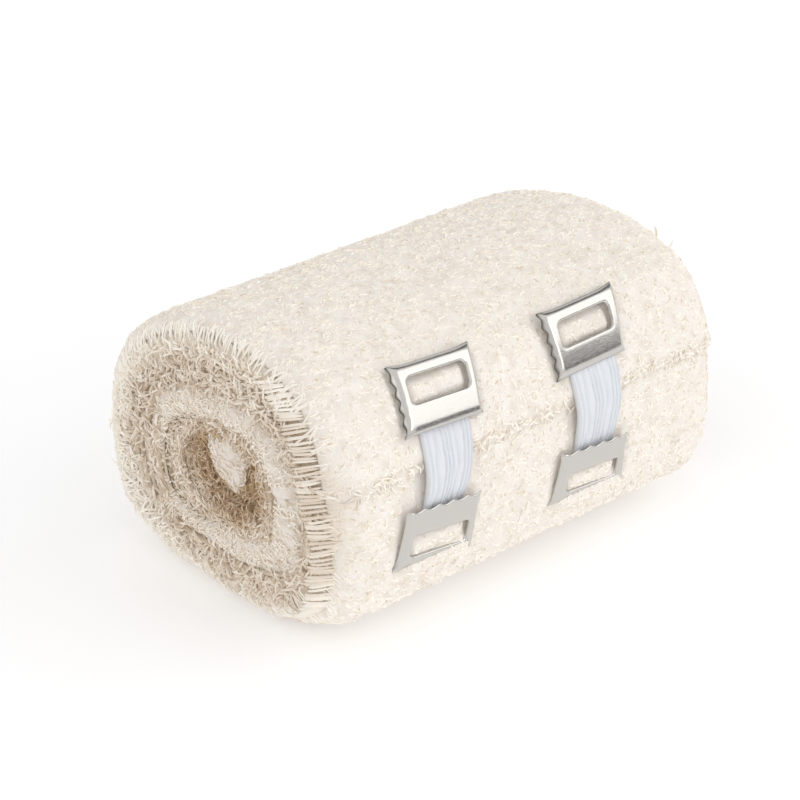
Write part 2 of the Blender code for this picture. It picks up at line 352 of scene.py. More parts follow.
@dataclass(frozen=True)
class ClipPlan:
    """Where one clip lies, and how it presses on the cloth.

    Distances down run round the roll from the loose end's edge.
    """

    name: str
    across: float
    drift: float
    upper: PlatePlan
    lower: PlatePlan
    outer_width: float
    inner_width: float
    elastic_width: float
    bridge: float = 7.0
    plate_bend: float = 0.5
    window_width_share: float = 0.82
    window_from: float = 0.19
    window_to: float = 0.61
    slope_step: float = 0.25
    press_past: float = 0.9
    press_fall: float = 1.2
    window_swell: float = 0.9
    bank_swell: float = 1.55

    def over_cloth(self, along: Array, rise: Array | float) -> tuple[Array, Array]:
        """Point (y, z) over the cloth, which steps softly down from the loose end to the layer below it."""
        return FORM.side(along, FORM.layer * (1.0 - ease(along / self.bridge)) + rise)

    def seat(self, across: Array, down: Array, rise: Array | float,
             turn: float = 0.0, middle: float | None = None) -> Array:
        """Points over the cloth from places in the clip's own plan.

        Args:
            across: Distance across from the clip's middle line.
            down: Distance down from the loose end's edge.
            rise: Height over the cloth.
            turn: Turn of a plate in its plan, in radians.
            middle: A plate's middle, about which it takes only part of the roll's curve.

        Returns:
            An array of points, the last axis holding x, y and z.
        """
        x = self.across + self.drift * down + across * cos(turn)
        along = down + across * sin(turn)
        y, z = self.over_cloth(along, rise)
        if middle is not None:
            flat_y, flat_z = self.over_cloth(middle, rise)
            before = np.array(FORM.side(middle - self.slope_step))
            after = np.array(FORM.side(middle + self.slope_step))
            steps = (along - middle) / float(np.hypot(*(after - before)))
            flat_y = flat_y + (after[0] - before[0]) * steps
            flat_z = flat_z + (after[1] - before[1]) * steps
            y = y * self.plate_bend + flat_y * (1.0 - self.plate_bend)
            z = z * self.plate_bend + flat_z * (1.0 - self.plate_bend)
        return np.stack(np.broadcast_arrays(x, y, z), axis=-1)

    def covers(self, walk: Array, x: Array) -> tuple[Array, Array]:
        """What the clip does to the cloth under it.

        Args:
            walk: Distance round the roll.
            x: Place along the roll.

        Returns:
            How much the clip presses on the cloth, from 0 to 1, and how far the cloth swells up in the
            plates' windows and at the lower plate's outer edge.
        """
        down = np.where(walk > 0.5 * FORM.girth, walk - FORM.girth, walk)
        off = np.abs(x - self.across - self.drift * down)
        pressed = np.zeros(np.broadcast(walk, x).shape)
        swollen = np.zeros_like(pressed)
        wide = 0.5 * self.window_width_share * self.inner_width
        for plate in (self.upper, self.lower):
            high = abs(plate.inner - plate.outer)
            inside = ease((0.5 * high + self.press_past - np.abs(down - plate.middle)) / self.press_fall)
            inside = inside * ease((0.5 * self.outer_width + self.press_past - off) / self.press_fall)
            pressed = np.maximum(pressed, inside)
            window = plate.outer + 0.5 * (self.window_from + self.window_to) * (plate.inner - plate.outer)
            deep = 0.5 * (self.window_to - self.window_from) * high
            hill = self.window_swell * ease((deep + 0.2 - np.abs(down - window)) / 1.4)
            swollen = np.maximum(swollen, hill * ease((wide + 0.2 - off) / 1.6))
            if plate.level is Level.LOWER:
                bank = bump_of(down, plate.outer - 0.6, 2.6)
                bank = bank * ease((0.5 * self.outer_width + 0.5 - off) / 2.5)
                swollen = np.maximum(swollen, self.bank_swell * bank)
        inside = ease((0.5 * self.elastic_width + 0.8 - off) / self.press_fall)
        inside = inside * (down > self.upper.inner - 1.0) * (down < self.lower.inner + 1.0)
        return np.maximum(pressed, inside), swollen


CLIPS = (
    ClipPlan("left", across=-19.8, drift=-0.18,
             upper=PlatePlan(Level.UPPER, outer=-14.2, inner=-4.9, turn=3.0, lean=0.0),
             lower=PlatePlan(Level.LOWER, outer=13.7, inner=5.2, turn=6.0, lean=0.25),
             outer_width=14.2, inner_width=13.3, elastic_width=8.7),
    ClipPlan("right", across=9.0, drift=-0.09,
             upper=PlatePlan(Level.UPPER, outer=-13.9, inner=-4.6, turn=-1.5, lean=-0.45),
             lower=PlatePlan(Level.LOWER, outer=14.4, inner=6.6, turn=4.0, lean=0.25),
             outer_width=14.6, inner_width=13.0, elastic_width=8.9),
)


# Helpers for meshes


def finished(name: str, bm: bmesh.types.BMesh, smooth: bool = True) -> bpy.types.Object:
    """Make an object from a bmesh and link it to the scene.

    Args:
        name: Name of the new object.
        bm: The bmesh, which is freed.
        smooth: Whether its faces are shaded smooth.

    Returns:
        The new object.
    """
    mesh = bpy.data.meshes.new(name)
    bm.to_mesh(mesh)
    bm.free()
    if smooth:
        mesh.shade_smooth()
    made = bpy.data.objects.new(name, mesh)
    bpy.context.scene.collection.objects.link(made)
    return made


def mapped_grid(name: str, points: Array, close_rows: bool) -> bpy.types.Object:
    """A grid whose corners are moved to given points, with its columns closed into a ring.

    Args:
        name: Name of the new object.
        points: Array of rows, columns and x, y, z in millimetres.
        close_rows: Whether the first and the last ring are filled.

    Returns:
        The new object.
    """
    rows, columns = points.shape[:2]
    bm = bmesh.new()
    bmesh.ops.create_grid(bm, x_segments=columns, y_segments=rows - 1, size=0.5)
    ring = np.concatenate([points, points[:, :1]], axis=1).reshape(-1, 3) * MM
    bm.verts.ensure_lookup_table()
    for vert, place in zip(bm.verts, ring):
        vert.co = place
    bmesh.ops.remove_doubles(bm, verts=bm.verts, dist=1e-7)
    if close_rows:
        bmesh.ops.holes_fill(bm, edges=[e for e in bm.edges if e.is_boundary])
    bmesh.ops.recalc_face_normals(bm, faces=bm.faces)
    return finished(name, bm)


def dress(piece: bpy.types.Object, material: bpy.types.Material) -> None:
    """Give a piece its looks and its body, and report it.

    Args:
        piece: The piece.
        material: Its only material.
    """
    piece.data.materials.clear()
    piece.data.materials.append(material)
    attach(piece, "root")
    LOG.info("%s: %d faces", piece.name, len(piece.data.polygons))


def store(piece: bpy.types.Object, name: str, amounts: Array | float) -> None:
    """Store a number from 0 to 1 at each point of a piece, for its material.

    Args:
        piece: The piece.
        name: Name of the attribute.
        amounts: One number for each point, or one for all.
    """
    layer = piece.data.attributes.new(name, "FLOAT", "POINT")
    amounts = np.broadcast_to(np.clip(amounts, 0.0, 1.0), len(piece.data.vertices))
    layer.data.foreach_set("value", amounts.astype(np.float32))


def places_of(piece: bpy.types.Object) -> Array:
    """List a piece's points.

    Args:
        piece: The piece.

    Returns:
        Rows of x, y and z in millimetres.
    """
    points = np.empty(len(piece.data.vertices) * 3)
    piece.data.vertices.foreach_get("co", points)
    return points.reshape(-1, 3) / MM


# Finishes


@dataclass(frozen=True)
class CrepeFinish:
    """Unbleached cotton crepe: matt, cream, with beige flecks of husk, crinkled by its hard-twisted warp."""

    name: str = "crepe_cotton"
    cream: str = "F3EEE8"
    beige: str = "E9E0D4"
    # Brown that the tone attribute mixes in, for the cloth's mottle and for the painted shade on the ends and
    # in the core
    brown: str = "B89A70"
    fleck: str = "D3C29C"
    cloud_mm: float = 6.0
    nub_mm: float = 0.7
    thread_mm: float = 0.3
    bump_mm: float = 0.25
    roughness: float = 0.95
    sheen: float = 0.15
    # A faint painted glow in the cloth's own colour, which lifts the shade between its fibres
    painted_glow: float = 0.05

    def make(self) -> bpy.types.Material:
        """Make the crepe's material, browner by the tone attribute: mottle, and painted shade on the ends.

        Returns:
            The material.
        """
        made, tree, shader = new_material(self.name)
        place = add(tree, "TexCoord").outputs["Object"]
        # The tone attribute carries the cloth's own mottle and the painted shade of the ends and the core
        tone = add(tree, "Attribute", {"attribute_name": "tone"}).outputs["Fac"]
        base = add(tree, "Mix", {"data_type": "RGBA", 6: linear(self.cream), 7: linear(self.brown)}, i0=tone)
        # Soft beige clouds and small husk flecks break up the cream
        cloud = add(tree, "TexNoise", {"Scale": 1.0 / (self.cloud_mm * MM), "Detail": 2.0}, Vector=place)
        cloudy = add(tree, "MapRange", {1: 0.4, 2: 0.7, 3: 0.0, 4: 0.35}, Value=cloud.outputs["Fac"])
        soft = add(tree, "Mix", {"data_type": "RGBA", 7: linear(self.beige)},
                   i0=cloudy.outputs["Result"], i6=base.outputs[2])
        specks = add(tree, "TexNoise", {"Scale": 1.0 / (self.nub_mm * MM), "Detail": 3.0, "Roughness": 0.6},
                     Vector=place)
        flecks = add(tree, "MapRange", {1: 0.60, 2: 0.68, 3: 0.0, 4: 0.7}, Value=specks.outputs["Fac"])
        colour = add(tree, "Mix", {"data_type": "RGBA", 7: linear(self.fleck)},
                     i0=flecks.outputs["Result"], i6=soft.outputs[2]).outputs[2]
        # The threads, a quarter of a millimetre thick, are drawn a little coarser so that they show
        nubs = add(tree, "TexVoronoi", {"feature": "SMOOTH_F1", "Scale": 1.0 / (self.nub_mm * MM)},
                   Vector=place)
        thread = add(tree, "TexNoise", {"Scale": 1.0 / (self.thread_mm * MM), "Detail": 2.0}, Vector=place)
        both = add(tree, "Math", {"operation": "MULTIPLY_ADD", 1: 0.6},
                   i0=thread.outputs["Fac"], i2=nubs.outputs["Distance"])
        bump = add(tree, "Bump", {"Strength": 0.55, "Distance": self.bump_mm * MM}, Height=both.outputs[0])
        # The emission is a painted glow, not a lamp
        wire(tree, shader, {"Roughness": self.roughness, "Sheen Weight": self.sheen, "Sheen Roughness": 0.5,
                            "Emission Strength": self.painted_glow},
             Base_Color=colour, Emission_Color=colour, Normal=bump.outputs["Normal"])
        return made


@dataclass(frozen=True)
class YarnFinish:
    """Single cotton yarns, matt, in the cloth's colours, with a faint painted glow in their shade."""

    name: str = "crepe_yarn"
    cream: str = "FAF5EC"
    # Brown that the tone attribute mixes in, for husk flecks and for the painted shade on the ends and in the
    # core
    brown: str = "C3A785"
    specular: float = 0.2
    # A faint painted glow in the yarns' own colour, which lifts the shade among them
    painted_glow: float = 0.06

    def make(self) -> bpy.types.Material:
        """Make the yarns' material, browner by the tone attribute: flecks, and painted shade on the ends.

        Returns:
            The material.
        """
        made, tree, shader = new_material(self.name)
        # The tone attribute carries the yarns' own flecks and the painted shade of the ends and the core
        tone = add(tree, "Attribute", {"attribute_name": "tone"}).outputs["Fac"]
        base = add(tree, "Mix", {"data_type": "RGBA", 6: linear(self.cream), 7: linear(self.brown)}, i0=tone)
        # The emission is a painted glow, not a lamp
        wire(tree, shader, {"Roughness": 1.0, "Specular IOR Level": self.specular,
                            "Emission Strength": self.painted_glow},
             Base_Color=base.outputs[2], Emission_Color=base.outputs[2])
        return made


@dataclass(frozen=True)
class PlateFinish:
    """Nickel-plated steel, stamped and tumbled: bright, with fine scratches along the plate."""

    name: str = "nickel_plated_steel"
    metal: str = "CCC9C4"
    # Dark grey of the bare cut edge, which also stands in for the shade where the upper plates' foot meets
    # the cloth
    bare_edge_and_shade: str = "5A5852"
    scratch_mm: float = 0.12
    smoothest: float = 0.12
    roughest: float = 0.24
    bump_mm: float = 0.03

    def make(self) -> bpy.types.Material:
        """Make the plates' material, dark by the cut attribute: bare cut edge, and painted shade at the foot.

        Returns:
            The material.
        """
        made, tree, shader = new_material(self.name)
        place = add(tree, "TexCoord").outputs["Object"]
        # The scratches run along X, so the mirrored cards look drawn out that way
        drawn = add(tree, "Mapping", {"Scale": (0.2, 1.0, 1.0)}, Vector=place)
        fine = add(tree, "TexNoise", {"Scale": 1.0 / (self.scratch_mm * MM), "Detail": 2.0},
                   Vector=drawn.outputs["Vector"])
        rough = add(tree, "MapRange", {1: 0.3, 2: 0.7, 3: self.smoothest, 4: self.roughest},
                    Value=fine.outputs["Fac"])
        bump = add(tree, "Bump", {"Strength": 0.22, "Distance": self.bump_mm * MM},
                   Height=fine.outputs["Fac"])
        # The cut attribute marks the bare cut edge and the painted shade along the upper plates' foot
        cut = add(tree, "Attribute", {"attribute_name": "cut"}).outputs["Fac"]
        colour = add(tree, "Mix", {"data_type": "RGBA", 6: linear(self.metal), 7: linear(self.bare_edge_and_shade)}, i0=cut)
        wire(tree, shader, {"Metallic": 1.0}, Base_Color=colour.outputs[2],
             Roughness=rough.outputs["Result"], Normal=bump.outputs["Normal"])
        return made


@dataclass(frozen=True)
class ElasticFinish:
    """Covered-rubber webbing: white polyester threads over rubber cords, with a faint blue brightener."""

    name: str = "white_elastic_webbing"
    white: str = "E4E7EC"
    thread_mm: float = 0.3
    bump_mm: float = 0.06
    roughness: float = 0.62
    sheen: float = 0.1

    def make(self) -> bpy.types.Material:
        """Make the elastic's material, with threads across the cords that show as fine bump.

        Returns:
            The material.
        """
        made, tree, shader = new_material(self.name)
        place = add(tree, "UVMap", {"uv_map": "plan"}).outputs["UV"]
        weave = add(tree, "TexWave", {"bands_direction": "Y", "Scale": 1.0 / self.thread_mm,
                                      "Distortion": 0.6, "Detail": 1.0}, Vector=place)
        bump = add(tree, "Bump", {"Strength": 0.35, "Distance": self.bump_mm * MM},
                   Height=weave.outputs["Fac"])
        wire(tree, shader, {"Base Color": linear(self.white), "Roughness": self.roughness,
                            "Sheen Weight": self.sheen}, Normal=bump.outputs["Normal"])
        return made


# The wound cloth

# Painted shade: the ends' band and the hollow core are painted brown, standing in for their shade
BAND_SHADE = 0.33
CORE_SHADE = 0.84


def painted_end_shade(points: Array) -> Array:
    """Painted shade by place: none on the side, brown on the shaded ends, deepest in the hollow core.

    Args:
        points: Places in millimetres, with x, y and z on the last axis.

    Returns:
        The brownness of each point.
    """
    middle_y, middle_z = FORM.middle(0.5)
    reach = np.hypot((points[..., 1] - middle_y) / FORM.half_width,
                     (points[..., 2] - middle_z) / FORM.half_height)
    by_end = ease((np.abs(points[..., 0]) - 0.5 * FORM.length + 7.0) / 6.0)
    band = BAND_SHADE * ease((1.0 - reach) / 0.25)
    core = CORE_SHADE * ease((0.48 - reach) / 0.24)
    return np.maximum(band, core) * by_end


@dataclass
class WoundCloth:
    """The bandage's cloth: the outer turn with its crinkled face, and the turns inside it."""

    crepe: bpy.types.Material
    thickness: float = 0.84
    inner_thickness: float = 1.0
    end_drop: float = 0.72
    end_taper: float = 2.4
    turns: float = 22.4
    outer_turn_to: float = 1.03
    fine_step: float = 0.43
    plain_step: float = 1.4
    edge_columns: tuple[float, ...] = (0.0, 0.3, 0.9, 2.0, 4.5, 10.0)
    round_share: float = 0.25
    set_back: float = 0.3
    set_back_in_front: float = 0.2
    set_back_on_top: float = 1.5
    dome: float = 0.7
    # Depth of each groove, and the share of the section at its middle and to either side
    outer_groove: tuple[float, float, float] = (1.2, 0.77, 0.06)
    inner_groove: tuple[float, float, float] = (1.6, 0.63, 0.12)
    hollow: float = 2.9
    nub_sizes: tuple[float, float] = (0.85, 1.7)
    nub_heights: tuple[float, float] = (0.19, 0.15)
    lump_size: float = 8.0
    lump_height: float = 0.16
    face_height: float = 0.25
    fold_grid: tuple[int, int] = (240, 26)
    fold_share: float = 0.644
    fold_half: float = 0.150
    fold_proud: float = 2.1
    # Painted shade of the raised fold, lighter than on the end around it
    fold_shade: float = 0.17
    inner_end_grid: tuple[int, int] = (60, 24)
    inner_end_top: tuple[float, float] = (-7.1, 32.8)
    inner_end_run: tuple[float, float] = (2.6, -14.4)
    inner_end_half: float = 4.0
    inner_end_proud: float = 1.7
    # Painted shade of the inner end, which stands up out of the dark core
    inner_end_shade: float = 0.24
    seed: int = 11
    edge_pieces: list[bpy.types.Object] = field(default_factory=list)

    def edge(self, end: End, wound: Array) -> Array:
        """Place along X of the cloth's edge.

        The outer turn is set back on the rounded rim, most of all over the top. The turns under it are domed,
        with one groove outside the pale fold and one under it, and the core is hollow.

        Args:
            end: The end of the roll.
            wound: Turns from the loose end inwards.

        Returns:
            The place along X at each wound place.
        """
        share = FORM.share(wound)
        walk = FORM.walk_of(wound)
        rim = (self.set_back + self.set_back_in_front * FORM.nearness(walk, LOW_FRONT)
               + self.set_back_on_top * FORM.nearness(walk, TOP))
        set_back = rim * ease((share - 0.985) / 0.02)
        set_back = set_back + self.set_back * ease((share - 0.88) / 0.1)
        dome = self.dome * ease((1.0 - share) / 0.25)
        (outer_deep, *outer_at), (inner_deep, *inner_at) = self.outer_groove, self.inner_groove
        groove = outer_deep * bump_of(share, *outer_at) + inner_deep * bump_of(share, *inner_at)
        hollow = self.hollow * ease((0.52 - share) / 0.30)
        wander = 0.5 * grain((wound * 5.0, wound * 0.0 + 3.0), 1.0, self.seed + int(end.value))
        slip = 0.45 * grain((np.floor(wound + 0.3) + 0.5, wound * 0.0), 1.0, self.seed + 40)
        return end.value * (FORM.length / 2.0 + dome - set_back - hollow - groove + wander + slip)

    def columns(self, near: Array, far: Array, even: bool) -> Array:
        """Places along X of the cloth's columns.

        Args:
            near: Place of the near edge in each row.
            far: Place of the far edge in each row.
            even: Whether the columns are even and fine, or few and closer together by the edges.

        Returns:
            An array of rows and columns.
        """
        width = float(np.mean(far - near))
        if even:
            share = np.linspace(0.0, 1.0, int(round(width / self.fine_step)) + 1)
        else:
            deep = np.array(self.edge_columns) / width
            share = np.concatenate([deep, [0.5], 1.0 - deep[::-1]])
        return near[:, None] + (far - near)[:, None] * share[None, :]

    def slab(self, name: str, wound: Array, face: Callable[[Array, Array], Array],
             fine: bool) -> bpy.types.Object:
        """A closed strip of cloth with round edges, wound on the form.

        Args:
            name: Name of the piece.
            wound: Wound place of each row.
            face: Function of (walk, x) that raises the outer face, in millimetres.
            fine: Whether the outer face has even fine columns.

        Returns:
            The new object.
        """
        near = self.edge(End.NEAR, wound)
        far = self.edge(End.FAR, wound)
        outer_x = self.columns(near, far, fine)
        inner_x = self.columns(near, far, False)[:, ::-1]
        rows = wound[:, None]
        whole = ease(wound * FORM.girth / self.end_taper)[:, None]
        thin = (self.thickness if fine else self.inner_thickness) * (0.3 + 0.7 * whole)
        down = self.end_drop * (1.0 - whole)
        outer = FORM.place(rows, outer_x, down - face(FORM.walk_of(rows), outer_x))
        inner = FORM.place(rows, inner_x, down + thin)
        far_round = self.round_edge(rows, outer_x[:, -1:], thin, End.FAR)
        near_round = self.round_edge(rows, outer_x[:, :1], thin, End.NEAR)[:, ::-1]
        return mapped_grid(name, np.concatenate([outer, far_round, inner, near_round], axis=1), True)

    def round_edge(self, rows: Array, x: Array, thin: Array, end: End) -> Array:
        """Two columns of points that round the cloth's edge, from its outer to its inner face.

        Args:
            rows: Wound place of each row.
            x: Place along X of the edge in each row.
            thin: Thickness of the cloth in each row.
            end: The end of the roll.

        Returns:
            An array of rows, the two columns and x, y, z.
        """
        depth = np.array([[self.round_share, 1.0 - self.round_share]]) * thin
        return FORM.place(rows, x + end.value * self.round_share * thin, depth)

    def crinkle(self, walk: Array, x: Array) -> Array:
        """Height of the outer face: nubs, soft lumps, and the press of the clips.

        Args:
            walk: Distance round the roll.
            x: Place along the roll.

        Returns:
            The height over the plain form.
        """
        walk, x = np.broadcast_arrays(walk, x)
        small, large = self.nub_sizes
        nubs = (self.nub_heights[0] * grain((walk / 1.25, x), small, self.seed + 3)
                + self.nub_heights[1] * grain((walk, x * 1.2), large, self.seed + 4))
        lumps = self.lump_height * grain((walk, x), self.lump_size, self.seed + 5)
        height = self.face_height + nubs + lumps
        for clip in CLIPS:
            pressed, swollen = clip.covers(walk, x)
            height = height * (1.0 - 0.8 * pressed) - 0.05 * pressed + swollen
        return height

    def plain(self, walk: Array, x: Array) -> Array:
        """Height of a covered face at a walk round the roll and a place along it."""
        walk, x = np.broadcast_arrays(walk, x)
        return 0.06 * grain((walk, x), 2.5, self.seed + 6)

    def outer_turn(self) -> bpy.types.Object:
        """Make the outer turn, from the loose end once round, in mottled cream with painted shade on its
        ends.

        Returns:
            The new object.
        """
        count = int(round(FORM.girth / self.fine_step))
        wound = np.linspace(0.0, self.outer_turn_to, count)
        piece = self.slab("bandage_outer_turn", wound, self.crinkle, True)
        points = places_of(piece)
        mottle = 0.5 + 0.5 * grain(tuple(points.T), 1.3, self.seed + 9)
        # The ends get painted shade; the mottle is the cloth's own tone
        store(piece, "tone", np.maximum(painted_end_shade(points), 0.04 + 0.26 * mottle ** 2))
        return piece

    def inner_turns(self) -> bpy.types.Object:
        """Make the turns inside, in one sheet down to the core.

        Returns:
            The new object.
        """
        wounds = [self.outer_turn_to + 0.01]
        while wounds[-1] < self.turns:
            around = FORM.girth * max(0.07, float(FORM.share(wounds[-1])))
            wounds.append(wounds[-1] + self.plain_step / around)
        piece = self.slab("bandage_inner_turns", np.array(wounds), self.plain, False)
        # The turns inside show only at the ends, so they get the painted shade more strongly
        store(piece, "tone", 0.1 + 1.6 * painted_end_shade(places_of(piece)))
        return piece

    def on_fold(self, walk: Array, turn: Array, lift: Array | float = 0.0) -> Array:
        """Points of the pale fold, broad over the top and at the front, thin at the back.

        Args:
            walk: Distance round the roll.
            turn: Turn round the fold's own rounded section.
            lift: Height over the fold's face.

        Returns:
            An array of points, the last axis holding x, y and z.
        """
        still = 0.0 * walk
        behind = FORM.nearness(walk, BACK)
        wide = self.fold_half - 0.104 * behind + 0.016 * grain((walk, still), 5.0, 81)
        share = self.fold_share + 0.056 * behind - 0.020 * FORM.nearness(walk, FRONT)
        share = share + 0.012 * grain((walk, still), 14.0, 82)
        proud = self.fold_proud - 0.8 * behind + 0.3 * grain((walk, still), 6.0, 83)
        wide = wide * (1.0 + 0.13 * grain((walk, turn * 3.0), 1.2, 84))
        raised = lift + 0.16 * grain((walk, turn * 4.0), 0.9, 85)
        x = -0.5 * FORM.length + 1.0 - (proud + raised) * np.sin(turn)
        return FORM.at(walk, share + (wide + lift / FORM.mean_radius) * np.cos(turn), x)

    def on_inner_end(self, share: Array, turn: Array, lift: Array | float = 0.0) -> Array:
        """Points of the cloth's inner end, which stands up in the core and leans down to the front.

        Args:
            share: Share of its height, from 0 at the top to 1 at the foot.
            turn: Turn round its own rounded section.
            lift: Height over its face.

        Returns:
            An array of points, the last axis holding x, y and z.
        """
        wide = self.inner_end_half * np.sin(pi * (0.01 + 0.98 * share)) ** 0.34 * (1.0 - 0.05 * share)
        wide = lift + wide * (1.0 + 0.12 * grain((share * 14.0, turn * 3.0), 1.2, 91))
        bulge = self.inner_end_proud + 0.25 * grain((share * 16.0, turn * 4.0), 0.9, 92)
        proud = bulge * np.sin(pi * (0.04 + 0.92 * share)) + lift
        x = -0.5 * FORM.length + 1.0 + 0.2 * share - proud * np.sin(turn)
        (top_y, top_z), (run_y, run_z) = self.inner_end_top, self.inner_end_run
        y = top_y + run_y * share + 1.2 * np.sin(pi * share) + wide * np.cos(turn)
        z = top_z + run_z * share + 0.25 * wide * np.cos(turn)
        return np.stack(np.broadcast_arrays(x, y, z), axis=-1)

    def rounded_piece(self, name: str, grid: tuple[int, int], length: float,
                      place: Callable[[Array, Array], Array], tone: float) -> bpy.types.Object:
        """A closed piece with a rounded section, at the near end.

        Args:
            name: Name of the piece.
            grid: Number of points along it and round its section.
            length: How far its length runs, as place takes it.
            place: Gives the points at a place along the length and a turn round the section.
            tone: Brownness of the piece, painted shade of the end face.

        Returns:
            The new object.
        """
        rows, around = grid
        along = np.linspace(0.0, length, rows)[:, None]
        turn = np.linspace(0.0, tau, around, endpoint=False)[None, :]
        piece = mapped_grid(name, place(*np.broadcast_arrays(along, turn)), True)
        store(piece, "tone", tone)
        return piece

    def make(self) -> None:
        """Make the outer turn, the inner turns and what bulges from them at the near end."""
        outer, inner = self.outer_turn(), self.inner_turns()
        self.edge_pieces = [
            self.rounded_piece("near_pale_fold", self.fold_grid, FORM.girth, self.on_fold, self.fold_shade),
            self.rounded_piece("near_inner_end", self.inner_end_grid, 1.0, self.on_inner_end,
                               self.inner_end_shade),
        ]
        for piece in (outer, inner, *self.edge_pieces):
            dress(piece, self.crepe)
        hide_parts("bandage_roll")
        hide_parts("bandage_roll")

    def cut_length(self, first: float, last: float) -> float:
        """Length of the cloth before it was wound.

        Args:
            first: Wound place where the length starts.
            last: Wound place where it ends.

        Returns:
            The length in metres.
        """
        wound = np.linspace(first, last, 2001)
        mean = float(np.mean(FORM.share(wound, 0.5 * self.thickness)))
        return mean * FORM.girth * (last - first) * MM

    def declare(self, yarns: list[bpy.types.Object]) -> None:
        """Work out the lengths of the outer turn and of the turns inside it, which nothing keeps.

        Args:
            yarns: The nap and the frayed yarns, which lie on the cloth.
        """
        near = [piece for piece in yarns if "core" in piece.name or "band" in piece.name]
        self.cut_length(0.0, self.outer_turn_to)
        self.cut_length(self.outer_turn_to, self.turns)
        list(self.edge_pieces)


# The yarns


@dataclass(frozen=True)
class CurlKind:
    """A kind of curled yarn: how many there are, and their least and greatest length, place and thickness.

    Its places are shares of the section, which move at the roll's back and front where the pale fold moves.
    """

    count: int
    lengths: tuple[float, float]
    shares: tuple[float, float]
    radii: tuple[float, float]
    least_at_back: float = 0.0
    most_at_back: float = 0.0
    most_at_front: float = 0.0


